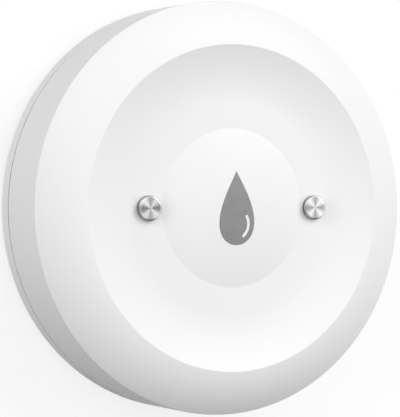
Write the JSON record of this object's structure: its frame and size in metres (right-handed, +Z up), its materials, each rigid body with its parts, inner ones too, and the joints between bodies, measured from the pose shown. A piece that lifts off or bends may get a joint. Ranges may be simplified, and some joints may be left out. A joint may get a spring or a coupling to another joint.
{
  "type": "water leak sensor",
  "caption": "Round water leak sensor: a white puck with a concave drip-catching top, a domed middle with a drop mark, steel probes above and below, and a coin-turned battery door underneath.",
  "frame": {"origin": "on the case axis, at the floor under the feet", "axes": "+Z up out of the dished top, +Y towards the tip of the drop mark, +X from the left top probe to the right one"},
  "size_m": [0.066, 0.066, 0.017],
  "materials": {
    "white_plastic": "satin gloss",
    "grey_mark": "satin",
    "probe_steel": "turned face, circular brush marks",
    "screw_steel": "zinc plated",
    "silicone": "matte",
    "foot_rubber": "matte",
    "contact_brass": "gold flashed",
    "cell_steel": "satin",
    "black_plastic": "matte",
    "board_green": "solder mask",
    "led_white": "gloss"
  },
  "bodies": {
    "housing": {"top_cover": "white_plastic", "drop_mark": "grey_mark", "top_probe_left": "probe_steel", "top_probe_right": "probe_steel", "top_probe_seals": "silicone", "top_probe_nuts": "contact_brass", "top_contact_springs": "contact_brass", "base": "white_plastic", "case_seal": "silicone", "case_screws": "screw_steel", "rubber_feet": "foot_rubber", "door_seal": "silicone", "coin_cell": "cell_steel", "battery_holder": "black_plastic", "contact_plus": "contact_brass", "contact_minus": "contact_brass", "circuit_board": "board_green", "board_screws": "screw_steel", "board_chips": "black_plastic", "radio_module": "board_green", "radio_shield": "cell_steel", "status_led": "led_white", "pairing_switch": "black_plastic", "bottom_probe_left": "probe_steel", "bottom_probe_right": "probe_steel", "bottom_probe_seals": "silicone", "bottom_probe_nuts": "contact_brass", "bottom_contact_springs": "contact_brass"},
    "door": {"battery_door": "white_plastic"},
    "plunger": {"pairing_plunger": "led_white"}
  },
  "joints": [
    {"name": "door_turn", "type": "hinge", "parent": "housing", "child": "door", "pos_m": [0, 0, 0.002], "axis": [0, 0, -1], "range_deg": [0, 50]},
    {"name": "pairing_press", "type": "slide", "parent": "housing", "child": "plunger", "axis": [0, 0, 1], "range_m": [0, 0.00025], "stiffness_N_per_m": 3000, "springref_m": -0.0003}
  ]
}
